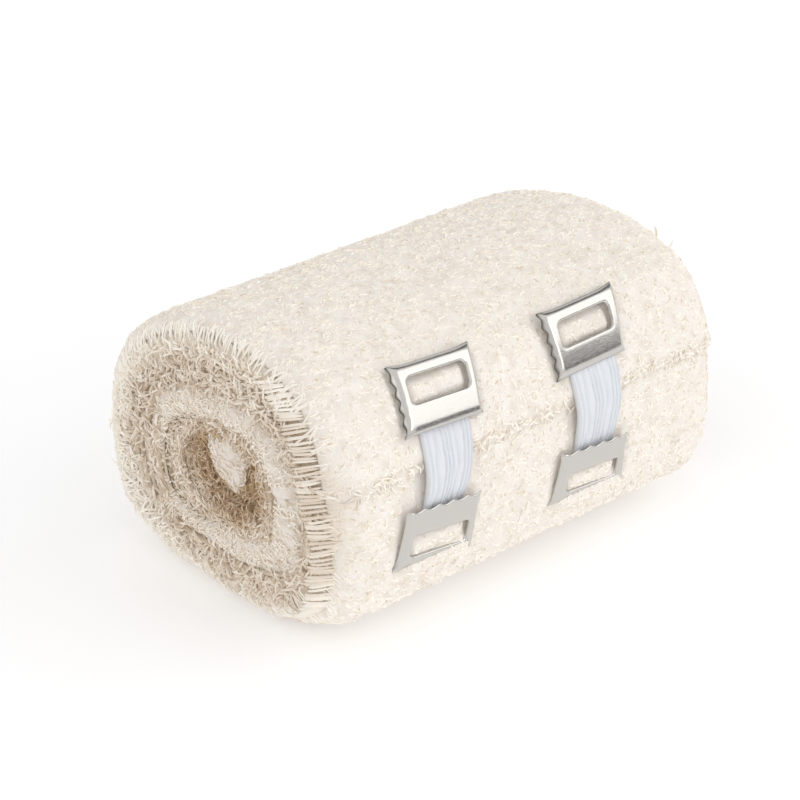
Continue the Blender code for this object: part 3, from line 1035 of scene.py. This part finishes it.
@dataclass
class Yarns:
    """The crepe's curled yarns: the nap of its side and the frayed yarns along its cut edges."""

    cloth: WoundCloth
    yarn: bpy.types.Material
    seed: int = 29
    nap_pieces: int = 2
    nap_count: int = 12500
    nap_lengths: tuple[float, float] = (0.7, 1.6)
    nap_radii: tuple[float, float] = (0.11, 0.18)
    flecked: float = 0.15
    near_band: CurlKind = CurlKind(3900, (1.5, 3.3), (0.77, 0.97), (0.15, 0.25), least_at_back=-0.09)
    far_band: CurlKind = CurlKind(3900, (1.5, 3.3), (0.60, 0.97), (0.15, 0.25))
    core: CurlKind = CurlKind(3300, (1.1, 2.4), (0.08, 0.57), (0.13, 0.21),
                              most_at_back=0.08, most_at_front=-0.06)
    rim_pitch: float = 0.30
    rim_lengths: tuple[float, float] = (1.6, 4.2)
    rim_radii: tuple[float, float] = (0.15, 0.24)
    rim_kept_by_ribs: float = 0.35
    ribs_from: float = -20.0
    ribs_to: float = 26.0
    ribs_fall: float = radians(18)
    rib_pitch: float = 0.64
    rib_lengths: tuple[float, float] = (3.6, 5.2)
    rib_radii: tuple[float, float] = (0.20, 0.29)
    ribs_share: float = 0.85
    fold_count: int = 1800
    fold_lengths: tuple[float, float] = (0.7, 1.8)
    inner_end_count: int = 200
    loose_end_count: int = 170
    loose_end_lengths: tuple[float, float] = (0.5, 1.7)
    loose_end_radii: tuple[float, float] = (0.10, 0.16)

    def strands(self, name: str, paths: Array, radius: Array, tone: Array) -> bpy.types.Object:
        """One mesh of many short yarns, three-sided and pointed at both ends.

        Args:
            name: Name of the piece.
            paths: Array of yarns, points and x, y, z in millimetres.
            radius: Radius of each yarn in millimetres.
            tone: Brownness of each yarn, added to the painted shade of its place.

        Returns:
            The new object, dressed.
        """
        yarns, count = paths.shape[:2]
        ahead = np.gradient(paths, axis=1)
        side = np.cross(ahead, np.array([0.31, 0.83, 0.46]))
        side /= np.linalg.norm(side, axis=2)[..., None] + 1e-9
        other = np.cross(ahead, side)
        other /= np.linalg.norm(other, axis=2)[..., None] + 1e-9
        thick = radius[:, None] * np.sin(np.linspace(0.0, pi, count)) ** 0.5
        turn = np.arange(4) * tau / 3.0
        off = side[:, :, None] * np.cos(turn)[:, None] + other[:, :, None] * np.sin(turn)[:, None]
        points = paths[:, :, None] + off * thick[:, :, None, None]
        # Each yarn takes the painted shade of its place, plus its own tone
        amount = np.clip(painted_end_shade(points) + tone[:, None, None], 0.0, 1.0).ravel()
        points = points.reshape(-1, 3) * MM
        bm = bmesh.new()
        bmesh.ops.create_grid(bm, x_segments=3, y_segments=yarns * count - 1, size=0.5)
        layer = bm.verts.layers.float.new("tone")
        for vert, place, brown in zip(bm.verts, points, amount):
            vert.co = place
            vert[layer] = brown
        between = [face for i, face in enumerate(bm.faces) if (i // 3 + 1) % count == 0]
        bmesh.ops.delete(bm, geom=between, context="FACES")
        bmesh.ops.remove_doubles(bm, verts=bm.verts, dist=1e-7)
        bmesh.ops.recalc_face_normals(bm, faces=bm.faces)
        made = finished(name, bm, smooth=False)
        dress(made, self.yarn)
        return made

    def nap(self, name: str, seed: int) -> bpy.types.Object:
        """Short loops that stand up from the outer turn's face, half of them lying nearly along the roll.

        Args:
            name: Name of the piece.
            seed: Picks the yarns.

        Returns:
            The new object.
        """
        rng = np.random.default_rng(seed)
        walk = rng.uniform(0.4, FORM.girth - 0.4, self.nap_count)
        wound = FORM.outer_wound(walk)
        near = self.cloth.edge(End.NEAR, wound)
        far = self.cloth.edge(End.FAR, wound)
        x = near + (far - near) * rng.uniform(0.0, 1.0, self.nap_count)
        covered = np.zeros(self.nap_count)
        for clip in CLIPS:
            pressed, swollen = clip.covers(walk, x)
            covered = np.maximum(covered, pressed - swollen)
        # None stand under the clips, or where the roll stands on the table
        height = FORM.at(walk, np.ones(self.nap_count), x)[:, 2]
        kept = (covered < 0.25) & (height > 1.0)
        walk, x = walk[kept], x[kept]
        count = len(walk)
        heading = np.where(rng.uniform(size=count) < 0.5,
                           rng.normal(0.0, 0.5, count), rng.uniform(0.0, pi, count))
        length = rng.uniform(*self.nap_lengths, count)
        curl = rng.normal(0.0, 0.3, count)
        rise = rng.uniform(0.02, 0.24, count)

        def place(way: float) -> Array:
            """Point of each yarn, which bows to one side and rises in its middle.

            Args:
                way: Share of its length, from 0 to 1.

            Returns:
                Rows of x, y and z.
            """
            along = (way - 0.5) * length
            aside = curl * np.sin(pi * way) + 0.3 * curl * np.sin(tau * way)
            here_x = x + along * np.cos(heading) - aside * np.sin(heading)
            here_walk = walk + along * np.sin(heading) + aside * np.cos(heading)
            here_walk = np.clip(here_walk, 0.05, FORM.girth - 0.05)
            lift = self.cloth.crinkle(here_walk, here_x) - 0.12 + rise * np.sin(pi * way)
            return FORM.place(FORM.outer_wound(here_walk), here_x, -lift)

        brown = rng.uniform(size=count) < self.flecked
        tone = np.where(brown, rng.uniform(0.15, 0.45, count), rng.uniform(0.0, 0.08, count))
        return self.strands(name, along_yarns(5, place), rng.uniform(*self.nap_radii, count), tone)

    def curls(self, name: str, end: End, kind: CurlKind, seed: int) -> bpy.types.Object:
        """Yarns that leave the cloth's edges at one end, bend over and curl.

        Args:
            name: Name of the piece.
            end: The end of the roll.
            kind: How many there are, how long, where and how thick.
            seed: Picks the yarns.

        Returns:
            The new object.
        """
        rng = np.random.default_rng(seed)
        walk = rng.uniform(0.0, FORM.girth, kind.count)
        behind = FORM.nearness(walk, BACK)
        least = kind.shares[0] + kind.least_at_back * behind
        most = kind.shares[1] + (kind.most_at_back * behind + kind.most_at_front * FORM.nearness(walk, FRONT))
        share = least + rng.uniform(0.0, 1.0, kind.count) ** 0.8 * (most - least)
        # Fewer of them stand at the back, and none by the rim where the ribs lie
        ribbed = (walk < self.ribs_to) | (walk > FORM.girth + self.ribs_from + 4.0)
        kept = rng.uniform(size=kind.count) > 0.25 * behind * (share > 0.7)
        kept = kept & ~(ribbed & (share > self.ribs_share))
        share, walk = share[kept], walk[kept]
        count = len(walk)
        wound = np.floor(FORM.wound_of(share)) + 1.0 - walk / FORM.girth
        wound = np.clip(wound, 0.01, self.cloth.turns - 0.3)
        in_core = ease((0.56 - share) / 0.1)
        sunk = rng.uniform(-0.1, 0.75, count) + 0.5 * in_core
        x = self.cloth.edge(end, wound) - end.value * rng.uniform(0.1, 0.7, count) * (1.0 - 0.5 * in_core)
        start = FORM.place(wound, x, sunk)
        out = FORM.place(wound, x, sunk - 1.0) - start
        out /= np.linalg.norm(out, axis=1)[:, None] + 1e-9
        axis = np.array([end.value, 0.0, 0.0])
        ahead = np.cross(out, axis)
        length = rng.uniform(*kind.lengths, count)[:, None]
        tuft = grain((walk * share, share * FORM.mean_radius), 2.6, seed + 1)[:, None]
        heading = axis + out * rng.normal(0.1, 0.5, count)[:, None]
        heading = heading + ahead * (rng.normal(0.0, 0.5, count)[:, None] + tuft)
        bend_out = rng.normal(-0.2, 0.9, count)[:, None]
        bend_ahead = rng.normal(0.0, 1.0, count)[:, None]
        steps = 4
        here = start
        paths = []
        for _ in range(steps + 1):
            paths.append(np.column_stack([here[:, :2], np.maximum(here[:, 2], 0.2)]))
            heading = heading / np.linalg.norm(heading, axis=1)[:, None]
            here = here + heading * length / steps
            heading = heading + (out * bend_out + ahead * bend_ahead) * 0.6 - axis * 0.38
        tone = rng.uniform(-0.18, 0.25, count)
        return self.strands(name, np.stack(paths, axis=1), rng.uniform(*kind.radii, count), tone)

    def rim(self, name: str, end: End, seed: int) -> bpy.types.Object:
        """Edge yarns of the outer turn, which lie over the rim and bend down on to the end.

        Args:
            name: Name of the piece.
            end: The end of the roll.
            seed: Picks the yarns.

        Returns:
            The new object.
        """
        rng = np.random.default_rng(seed)
        count = int(FORM.girth / self.rim_pitch)
        walk = rng.uniform(0.0, FORM.girth, count)
        by_ribs = (walk < self.ribs_to - 3.0) | (walk > FORM.girth + self.ribs_from + 6.0)
        walk = walk[~by_ribs | (rng.uniform(size=count) < self.rim_kept_by_ribs)]
        count = len(walk)
        wound = np.clip(FORM.outer_wound(walk), 0.002, 0.998)
        edge = self.cloth.edge(end, wound)
        inside = rng.uniform(0.2, 0.9, count)
        over = rng.uniform(*self.rim_lengths, count)
        lean = rng.normal(0.0, 0.4, count) + 0.5 * grain((walk, 0.0 * walk), 3.0, seed + 1)
        curl = rng.normal(0.0, 0.7, count)
        proud = rng.uniform(0.3, 1.5, count)

        def place(way: float) -> Array:
            """Point of each yarn, which starts on the side and sinks down past the edge.

            Args:
                way: Share of its length, from 0 to 1.

            Returns:
                Rows of x, y and z.
            """
            run = -inside + (inside + over) * way
            past = np.maximum(run, 0.0)
            x = edge + end.value * (np.minimum(run, 0.0) + proud * np.sin(pi * past / (1.2 * over)))
            shift = lean * run + curl * np.sin(pi * way)
            lift = 0.30 + 0.2 * np.sin(pi * way) - past
            return FORM.place(np.clip(wound - shift / FORM.girth, 0.002, 0.998), x, -lift)

        tone = rng.uniform(-0.3, 0.1, count)
        return self.strands(name, along_yarns(6, place), rng.uniform(*self.rim_radii, count), tone)

    def ribs(self, name: str, end: End, seed: int) -> bpy.types.Object:
        """Straight weft yarns of the outer turn's edge, combed side by side over the end at the front.

        Args:
            name: Name of the piece.
            end: The end of the roll.
            seed: Picks the yarns.

        Returns:
            The new object.
        """
        rng = np.random.default_rng(seed)
        walk = np.arange(self.ribs_from, self.ribs_to, self.rib_pitch)
        count = len(walk)
        walk = walk + rng.uniform(-0.2, 0.2, count)
        wound = 1.0 - np.mod(walk, FORM.girth) / FORM.girth
        edge = self.cloth.edge(end, np.clip(wound, 0.002, 0.998))
        inside = rng.uniform(0.1, 0.9, count)
        over = rng.uniform(*self.rib_lengths, count)
        start = FORM.at(walk, FORM.share(1.0, -0.3), edge)
        inwards = np.array([0.0, cos(self.ribs_fall), -sin(self.ribs_fall)])

        def place(way: float) -> Array:
            """Point of each yarn, which runs straight across the end and bows out a little.

            Args:
                way: Share of its length, from 0 to 1.

            Returns:
                Rows of x, y and z.
            """
            run = -inside + (inside + over) * way
            past = np.maximum(run, 0.0)
            here = start + past[:, None] * inwards
            here[:, 0] += end.value * (np.minimum(run, 0.0) + 1.9 * np.sin(0.62 * pi * past / over))
            here[:, 2] = np.maximum(here[:, 2] + 0.15 * np.sin(pi * way + walk), 0.25)
            return here

        tone = rng.uniform(-0.2, 0.1, count)
        return self.strands(name, along_yarns(6, place), rng.uniform(*self.rib_radii, count), tone)

    def fold_nap(self, name: str, seed: int) -> bpy.types.Object:
        """Short yarns that lie on the pale fold and the cloth's inner end, and cross their edges.

        Args:
            name: Name of the piece.
            seed: Picks the yarns.

        Returns:
            The new object.
        """
        rng = np.random.default_rng(seed)
        count = self.fold_count + self.inner_end_count
        on_fold = np.arange(count) < self.fold_count
        first = np.where(on_fold, rng.uniform(3.0, FORM.girth - 3.0, count), rng.uniform(0.05, 0.9, count))
        first_step = np.where(on_fold, 1.6, 1.0 / 16.0)
        turn = rng.uniform(0.0, pi, count)
        heading = rng.uniform(0.0, tau, count)
        length = rng.uniform(*self.fold_lengths, count)
        curl = rng.normal(0.0, 0.35, count)
        rise = rng.uniform(0.1, 0.4, count)

        def place(way: float) -> Array:
            """Point of each yarn, on the fold or on the inner end.

            Args:
                way: Share of its length, from 0 to 1.

            Returns:
                Rows of x, y and z.
            """
            along = (way - 0.5) * length
            aside = curl * np.sin(pi * way)
            here = first + first_step * (along * np.cos(heading) - aside * np.sin(heading))
            here_turn = turn + (along * np.sin(heading) + aside * np.cos(heading)) / 2.4
            lift = rise * np.sin(pi * way)
            inner_end = self.cloth.on_inner_end(np.clip(here, 0.01, 0.99), here_turn, lift)
            return np.where(on_fold[:, None], self.cloth.on_fold(here, here_turn, lift), inner_end)

        paths = along_yarns(5, place)
        tone = rng.uniform(-0.3, 0.0, count) - 0.4 * ~on_fold
        return self.strands(name, paths, rng.uniform(*self.nap_radii, count), tone)

    def loose_end(self, name: str, seed: int) -> bpy.types.Object:
        """Short yarns that fray from the loose end's cut edge, down on to the turn below.

        Args:
            name: Name of the piece.
            seed: Picks the yarns.

        Returns:
            The new object.
        """
        rng = np.random.default_rng(seed)
        count = self.loose_end_count
        x = rng.uniform(-0.46, 0.46, count) * FORM.length
        begin = rng.uniform(-1.6, 0.1, count)
        reach = rng.uniform(*self.loose_end_lengths, count)
        lean = rng.normal(0.0, 0.9, count)

        def place(way: float) -> Array:
            """Point of each yarn, which steps down from the loose end to the layer below it.

            Args:
                way: Share of its length, from 0 to 1.

            Returns:
                Rows of x, y and z.
            """
            walk = begin + reach * way
            layer = FORM.layer * (1.0 - ease((walk + 1.6) / 2.2))
            lift = layer + 0.30 + 0.16 * np.sin(pi * way)
            return FORM.at(walk, 1.0 + lift / FORM.mean_radius, x + lean * way * reach)

        tone = rng.uniform(0.0, 0.25, count)
        return self.strands(name, along_yarns(5, place), rng.uniform(*self.loose_end_radii, count), tone)

    def make(self) -> list[bpy.types.Object]:
        """Make the nap, the loose end's yarns and the frayed yarns of both ends.

        Returns:
            All their pieces.
        """
        made = [self.nap(f"nap_{i + 1}", self.seed + i) for i in range(self.nap_pieces)]
        made.append(self.loose_end("loose_end_yarns", self.seed + 2))
        for end, band in ((End.NEAR, self.near_band), (End.FAR, self.far_band)):
            word = end.name.lower()
            seed = self.seed + 10 + int(end.value)
            made.append(self.rim(f"{word}_rim_yarns", end, seed))
            made.append(self.ribs(f"{word}_rib_yarns", end, seed + 20))
            made.append(self.curls(f"{word}_band_yarns", end, band, seed + 40))
            made.append(self.curls(f"{word}_core_yarns", end, self.core, seed + 60))
        made.append(self.fold_nap("near_core_fold_yarns", self.seed + 80))
        return made


# The clips


@dataclass
class BandageClip:
    """One clip: two stamped end plates joined by a ribbed elastic strip."""

    plan: ClipPlan
    steel: bpy.types.Material
    elastic: bpy.types.Material
    clearance: float = 0.25
    sheet: float = 0.32
    plate_rise: float = 1.5
    bevel: float = 0.85
    inner_bevel: float = 1.2
    inner_rise: float = 1.28
    corner: float = 0.95
    lip: float = 0.32
    lip_drop: float = 0.55
    tooth_out: float = 0.45
    tooth_up: float = 0.5
    teeth: int = 5
    flare: float = 0.35
    outline_counts: tuple[int, ...] = (30, 20, 30, 20)
    edge_shares: tuple[float, ...] = (0.0, 0.35, 0.75)
    frame_shares: tuple[float, ...] = (0.0, 0.12, 0.5, 0.86)
    lip_shares: tuple[float, ...] = (0.0, 0.4, 1.0)
    inner_side: int = 2
    left_side: int = 3
    ribs: int = 9
    rib_points: int = 10
    rib_height: float = 0.44
    strip_rows: int = 46
    strip_rise: float = 0.60
    strip_lift: float = 0.42
    strip_under: float = 0.12
    waist: float = 0.16
    bow_aside: float = 0.35
    foot_aside: float = 0.3
    tuck: float = 1.6

    def outline(self, top_width: float, bottom_width: float, top: float, bottom: float) -> tuple[Array, ...]:
        """Walk round a four-sided outline, from the left end of its top.

        Args:
            top_width: Width of its top side.
            bottom_width: Width of its bottom side.
            top: Distance down of its top side.
            bottom: Distance down of its bottom side.

        Returns:
            Places as rows of across and down, the side that each is on, and its way along that side.
        """
        corners = np.array([(-top_width / 2, top), (top_width / 2, top),
                            (bottom_width / 2, bottom), (-bottom_width / 2, bottom)])
        places = []
        sides = []
        ways = []
        for side, count in enumerate(self.outline_counts):
            way = np.arange(count) / count
            first, second = corners[side], corners[(side + 1) % 4]
            places.append(first + (second - first) * way[:, None])
            sides.append(np.full(count, side))
            ways.append(way)
        return np.concatenate(places), np.concatenate(sides), np.concatenate(ways)

    def window(self, spot: PlatePlan) -> tuple[Array, Array]:
        """The outline of a plate's window and that of its turned lip.

        Args:
            spot: Where the plate lies.

        Returns:
            Places as rows of across and down, with round corners, of each.
        """
        plan = self.plan
        half = 0.5 * plan.window_width_share * plan.inner_width
        top = spot.outer + plan.window_from * (spot.inner - spot.outer)
        bottom = spot.outer + plan.window_to * (spot.inner - spot.outer)
        centre = (0.0, 0.5 * (top + bottom))
        halves = np.array([half, 0.5 * abs(bottom - top)])
        places, _, _ = self.outline(2 * half, 2 * half, top, bottom)
        places = places - centre
        inner = np.clip(places, -halves + self.corner, halves - self.corner)
        off = places - inner
        reach = np.linalg.norm(off, axis=1)[:, None]
        cornered = inner + off * self.corner / np.maximum(reach, 1e-9)
        places = np.where(reach > self.corner, cornered, places) + centre
        return places, (places - centre) * (1.0 - self.lip / halves) + centre

    def foot(self, spot: PlatePlan, inwards: float) -> tuple[Array, Array, Array]:
        """A plate's foot, with flared corners and a toothed side: on the left above, at the inner end below.

        Args:
            spot: Where the plate lies.
            inwards: 1 where the plate's inner edge is below its outer edge, otherwise -1.

        Returns:
            Places as rows of across and down, the height of each over the cloth, and the side that it is on.
        """
        plan = self.plan
        places, sides, ways = self.outline(plan.outer_width, plan.inner_width, spot.outer, spot.inner)
        rise = np.where(sides == self.inner_side, self.inner_rise, self.clearance + self.sheet)
        at_corner = np.exp(-((np.minimum(ways, 1.0 - ways) * 9.0) ** 2))
        outward = np.sign(places - (0.0, spot.middle))
        places = places + outward * self.flare * at_corner[:, None] * (sides != self.inner_side)[:, None]
        toothed = sides == (self.left_side if spot.level is Level.UPPER else self.inner_side)
        saw = np.abs(((ways * self.teeth) % 1.0) * 2.0 - 1.0) * toothed
        if spot.level is Level.UPPER:
            places[:, 0] -= self.tooth_out * saw
            rise = rise + self.tooth_up * (1.0 - saw) * toothed
        else:
            places[:, 1] += inwards * self.tooth_out * saw
        return places, rise, sides

    def plate(self, spot: PlatePlan) -> bpy.types.Object:
        """A stamped plate in thin sheet: toothed foot, sloping edge, flat frame, and a window with a lip.

        Args:
            spot: Where the plate lies.

        Returns:
            The new object.
        """
        plan = self.plan
        inwards = 1.0 if spot.inner > spot.outer else -1.0
        foot, foot_rise, sides = self.foot(spot, inwards)
        flat, _, _ = self.outline(plan.outer_width - 2 * self.bevel, plan.inner_width - 2 * self.bevel,
                                  spot.outer + inwards * self.bevel, spot.inner - inwards * self.inner_bevel)
        window, lip = self.window(spot)
        rows = []
        for share in self.edge_shares:
            rise = foot_rise + (self.plate_rise - foot_rise) * np.sin(0.5 * pi * share)
            rows.append((foot + (flat - foot) * share, rise))
        for share in self.frame_shares:
            rows.append((flat + (window - flat) * share, self.plate_rise))
        for share in self.lip_shares:
            rise = self.plate_rise - self.lip_drop * (1.0 - np.cos(0.5 * pi * share))
            rows.append((window + (lip - window) * np.sin(0.5 * pi * share), rise))
        rings = np.stack([plan.seat(p[:, 0], p[:, 1],
                                    rise + spot.lean * (p[:, 1] - spot.middle) / (spot.inner - spot.middle),
                                    radians(spot.turn), spot.middle) for p, rise in rows])
        piece = mapped_grid(f"{plan.name}_{spot.level.value}_plate", rings, False)
        self.face_out(piece)
        cut = np.zeros(rings.shape[:2])
        # Only the upper plates' foot is painted dark, less on its inner side: partly the bare cut edge,
        # partly painted shade where it presses into the cloth
        if spot.level is Level.UPPER:
            cut[0] = np.where(sides == self.inner_side, 0.2, 1.0)
        store(piece, "cut", cut.ravel())
        wall = piece.modifiers.new("sheet", "SOLIDIFY")
        wall.thickness = self.sheet * MM
        wall.offset = -1.0
        soften = piece.modifiers.new("soft edges", "SUBSURF")
        soften.levels = 1
        soften.render_levels = 1
        return piece

    @staticmethod
    def face_out(piece: bpy.types.Object) -> None:
        """Turn an open sheet's faces away from the roll's middle.

        Args:
            piece: The sheet.
        """
        outward = 0.0
        for face in piece.data.polygons:
            away = Vector((0.0, face.center.y - FORM.middle_y * MM, face.center.z - FORM.middle_z * MM))
            outward += face.normal.dot(away.normalized()) * face.area
        if outward < 0.0:
            piece.data.flip_normals()

    def strip(self) -> bpy.types.Object:
        """The elastic strip: round ribs lengthwise on top, flat below, its ends tucked under the plates.

        Returns:
            The new object, with a UV map that runs across it and down it.
        """
        plan = self.plan
        top = plan.upper.inner - self.tuck
        bottom = plan.lower.inner + self.tuck
        down = np.linspace(top, bottom, self.strip_rows)[:, None]
        span = np.linspace(0.0, 1.0, self.ribs * self.rib_points + 1)[None, :]
        share = (down - top) / (bottom - top)
        across = (span - 0.5) * plan.elastic_width * (1.0 - self.waist * ease(share))
        bow = self.bow_aside * np.sin(pi * (down - top) / (bottom - top))
        across = across + (bow + self.foot_aside * ease(share))
        downs, spans = np.broadcast_arrays(down, span)
        sway = grain((downs * 0.35, spans * 5.0), 1.0, 71)
        wave = 0.05 * grain((downs, spans * 4.0), 2.5, 72)
        phase = self.ribs * span + 0.28 * sway * np.sin(pi * span) + 0.30 * np.sin(2.2 * tau * span)
        rib = np.abs(np.sin(pi * phase)) ** 0.6
        free = ease(np.minimum(share, 1.0 - share) * (bottom - top) / (2.2 * self.tuck))
        ribbed = self.rib_height * (rib - 1.0) * (0.4 + 0.6 * free)
        upper = self.strip_rise + self.strip_lift * free + ribbed + wave
        outer = plan.seat(across, downs, upper)
        under = plan.seat(across, downs, self.strip_under + 0.0 * upper)[:, ::-1][:, ::self.rib_points]
        piece = mapped_grid(f"{plan.name}_elastic", np.concatenate([outer, under], axis=1), True)
        layer = piece.data.uv_layers.new(name="plan")
        points = places_of(piece)
        corners = np.empty(len(piece.data.loops), dtype=np.int32)
        piece.data.loops.foreach_get("vertex_index", corners)
        slide = points[:, 2] * 0.9 - points[:, 1] * 0.4
        layer.data.foreach_set("uv", np.column_stack([points[:, 0], slide])[corners].ravel())
        return piece

    def make(self) -> None:
        """Make the clip's three pieces in place of their solids."""
        for spot in (self.plan.upper, self.plan.lower):
            piece = self.plate(spot)
            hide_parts(f"clip_{self.plan.name}_{spot.level.value}_plate")
            dress(piece, self.steel)
        piece = self.strip()
        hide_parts(f"clip_{self.plan.name}_elastic")
        dress(piece, self.elastic)


# The studio


@dataclass(frozen=True)
class Card:
    """A round card in the sky that the plates mirror, dark below level 1 and bright above it.

    Its half angle and the width of its soft edge are in degrees.
    """

    towards: tuple[float, float, float]
    half_angle: float
    level: float
    soft_edge: float = 1.5


@dataclass
class Studio:
    """A white table in an even white tent, with a weak key light in front, and the photograph's camera."""

    azimuth: float = radians(-41.5)
    elevation: float = radians(27.47)
    distance: float = 379.6
    aim: tuple[float, float, float] = (0.0, -2.2, 20.6)
    focal_share: float = 2543.81 / 800.0
    shift: tuple[float, float] = (-20.52 / 800.0, -11.87 / 800.0)
    sensor: float = 36.0
    clip_start: float = 0.01
    table: str = "F7F7F8"
    table_glow: float = 0.17
    floor_half: float = 2.0
    dim: float = 0.47
    bright: float = 0.95
    towards: tuple[float, float, float] = (0.15, -0.25, 1.0)
    cards: tuple[Card, ...] = (Card((0.60, -0.79, 0.10), 9.0, 0.2), Card((0.575, -0.69, 0.46), 20.0, 1.9),
                               Card((0.59, 0.30, 0.75), 17.0, 0.25), Card((-0.77, -0.31, 0.51), 13.0, 1.7))
    key_place: tuple[float, float, float] = (0.10, -0.84, 0.40)
    key_size: float = 0.26
    key_watts: float = 0.58
    key_aim: tuple[float, float, float] = (0.0, 0.0, 0.02)

    def camera(self) -> None:
        """Set the camera at the photograph's viewing angle, its distance in millimetres."""
        back = Vector((sin(self.azimuth) * cos(self.elevation), -cos(self.azimuth) * cos(self.elevation),
                       sin(self.elevation)))
        data = bpy.data.cameras.new("camera")
        data.sensor_width = self.sensor
        data.lens = self.focal_share * self.sensor
        data.shift_x, data.shift_y = self.shift
        data.clip_start = self.clip_start
        made = bpy.data.objects.new("camera", data)
        bpy.context.scene.collection.objects.link(made)
        place = (Vector(self.aim) + back * self.distance) * MM
        made.matrix_world = Matrix.Translation(place) @ back.to_track_quat("Z", "Y").to_matrix().to_4x4()
        bpy.context.scene.camera = made

    def key(self) -> None:
        """Set a square soft light low in front of the roll, its place in metres."""
        data = bpy.data.lights.new("key", "AREA")
        data.size = self.key_size
        data.energy = self.key_watts
        made = bpy.data.objects.new("key", data)
        made.location = self.key_place
        aim = Vector(self.key_aim) - Vector(self.key_place)
        made.rotation_euler = aim.to_track_quat("-Z", "Y").to_euler()
        bpy.context.scene.collection.objects.link(made)

    def floor(self) -> None:
        """Set a white table top under the roll, with a faint glow that keeps it white."""
        bm = bmesh.new()
        bmesh.ops.create_grid(bm, x_segments=1, y_segments=1, size=self.floor_half)
        piece = finished("floor", bm, smooth=False)
        made, tree, shader = new_material("white_table")
        wire(tree, shader, {"Base Color": linear(self.table), "Roughness": 0.9,
                            "Emission Color": linear("FFFFFF"), "Emission Strength": self.table_glow})
        piece.data.materials.append(made)

    def sky(self) -> None:
        """Set a white tent, brightest overhead, with the cards that the plates mirror."""
        world = bpy.data.worlds.new("studio")
        world.use_nodes = True
        tree = world.node_tree
        way = add(tree, "TexCoord").outputs["Generated"]
        lit = add(tree, "VectorMath", {"operation": "DOT_PRODUCT", 1: Vector(self.towards).normalized()},
                  i0=way)
        level = add(tree, "MapRange", {"interpolation_type": "SMOOTHSTEP", 1: -0.6, 2: 0.9,
                                       3: self.dim, 4: self.bright}, Value=lit.outputs["Value"])
        strength = level.outputs["Result"]
        for card in self.cards:
            towards = Vector(card.towards).normalized()
            facing = add(tree, "VectorMath", {"operation": "DOT_PRODUCT", 1: towards}, i0=way)
            shade = add(tree, "MapRange", {"interpolation_type": "SMOOTHSTEP",
                                           1: cos(radians(card.half_angle + card.soft_edge)),
                                           2: cos(radians(card.half_angle - card.soft_edge)),
                                           3: 1.0, 4: card.level}, Value=facing.outputs["Value"])
            dimmed = add(tree, "Math", {"operation": "MULTIPLY"}, i0=strength, i1=shade.outputs["Result"])
            strength = dimmed.outputs[0]
        wire(tree, tree.nodes["Background"], {"Color": linear("FFFFFF")}, Strength=strength)
        bpy.context.scene.world = world

    def make(self) -> None:
        """Set the table, the light and the camera."""
        self.floor()
        self.sky()
        self.key()
        self.camera()
        bpy.context.scene.view_settings.view_transform = "Standard"
        LOG.info("studio set")


def main() -> None:
    """Build the pieces in order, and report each."""
    logging.basicConfig(level=logging.INFO, format="%(name)s: %(message)s")
    cloth = WoundCloth(CrepeFinish().make())
    cloth.make()
    cloth.declare(Yarns(cloth, YarnFinish().make()).make())
    steel = PlateFinish().make()
    elastic = ElasticFinish().make()
    for plan in CLIPS:
        BandageClip(plan, steel, elastic).make()
    Studio().make()


if __name__ == "__main__":
    main()
